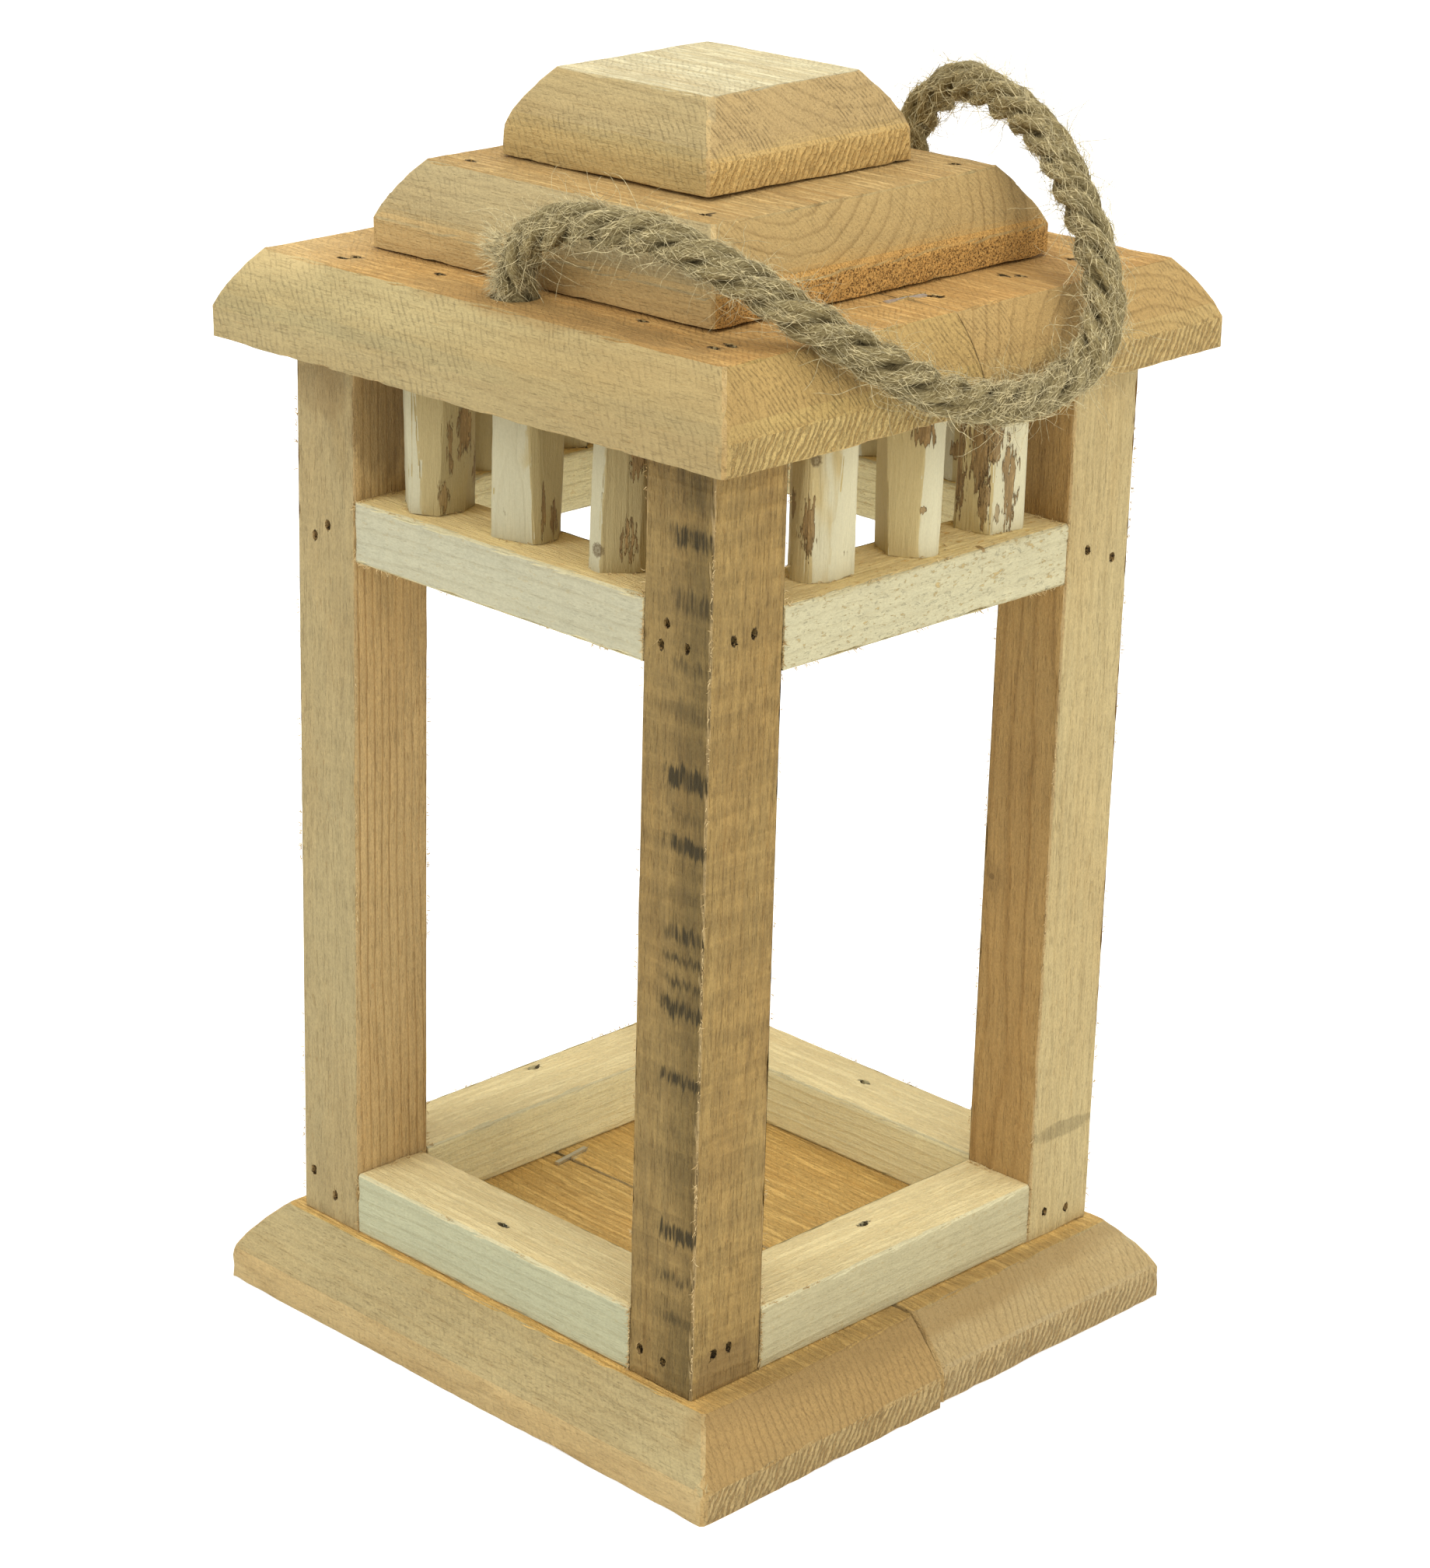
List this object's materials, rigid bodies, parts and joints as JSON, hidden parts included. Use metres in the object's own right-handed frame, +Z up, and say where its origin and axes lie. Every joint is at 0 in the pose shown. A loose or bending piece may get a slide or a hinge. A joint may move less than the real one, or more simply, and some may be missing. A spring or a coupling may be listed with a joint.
{
  "type": "candle lantern",
  "caption": "Rustic open wooden candle lantern: bevelled base, corner posts and rails, short branch sticks under a stepped roof, and a jute rope handle.",
  "frame": {"origin": "middle of the underside of the base", "axes": "+Z up, -Y towards the front, +X to the right and along the grain of the base and roof planks; the rope handle lies over the +X side at rest"},
  "size_m": [0.1753, 0.1601, 0.2964],
  "materials": {
    "base_wood": "raw sawn softwood, unfinished",
    "post_wood": "raw sawn softwood with saw marks and dark stains, unfinished",
    "rail_wood": "pale raw sawn softwood, unfinished",
    "branch_wood": "peeled and knife-cut branch wood with remains of bark",
    "roof_wood": "raw planed and sawn softwood with rough end grain, unfinished",
    "jute_rope": "laid jute rope, hairy",
    "steel_fasteners": "zinc-coated steel wire"
  },
  "bodies": {
    "lantern": {"base_plank_front": "base_wood", "base_plank_rear": "base_wood", "post_front_left": "post_wood", "post_front_right": "post_wood", "post_rear_left": "post_wood", "post_rear_right": "post_wood", "sill_rail_front": "rail_wood", "upper_rail_front": "rail_wood", "sill_rail_right": "rail_wood", "upper_rail_right": "rail_wood", "sill_rail_rear": "rail_wood", "upper_rail_rear": "rail_wood", "sill_rail_left": "rail_wood", "upper_rail_left": "rail_wood", "stick_front_1": "branch_wood", "stick_front_2": "branch_wood", "stick_front_3": "branch_wood", "stick_right_1": "branch_wood", "stick_right_2": "branch_wood", "stick_right_3": "branch_wood", "stick_rear_1": "branch_wood", "stick_rear_2": "branch_wood", "stick_rear_3": "branch_wood", "stick_left_1": "branch_wood", "stick_left_2": "branch_wood", "stick_left_3": "branch_wood", "roof_plank_front": "roof_wood", "roof_plank_rear": "roof_wood", "roof_middle_board": "roof_wood", "roof_top_board": "roof_wood", "post_brads": "steel_fasteners", "base_brads": "steel_fasteners", "sill_brads": "steel_fasteners", "roof_brads": "steel_fasteners", "top_board_brads": "steel_fasteners", "seam_staples": "steel_fasteners"},
    "handle": {"handle_rope": "jute_rope"}
  },
  "joints": [
    {"name": "handle_swing", "type": "hinge", "parent": "lantern", "child": "handle", "pos_m": [-0.001, 0, 0.256], "axis": [0, -1, 0], "range_deg": [0, 95], "deforming": ["handle_rope"]}
  ]
}
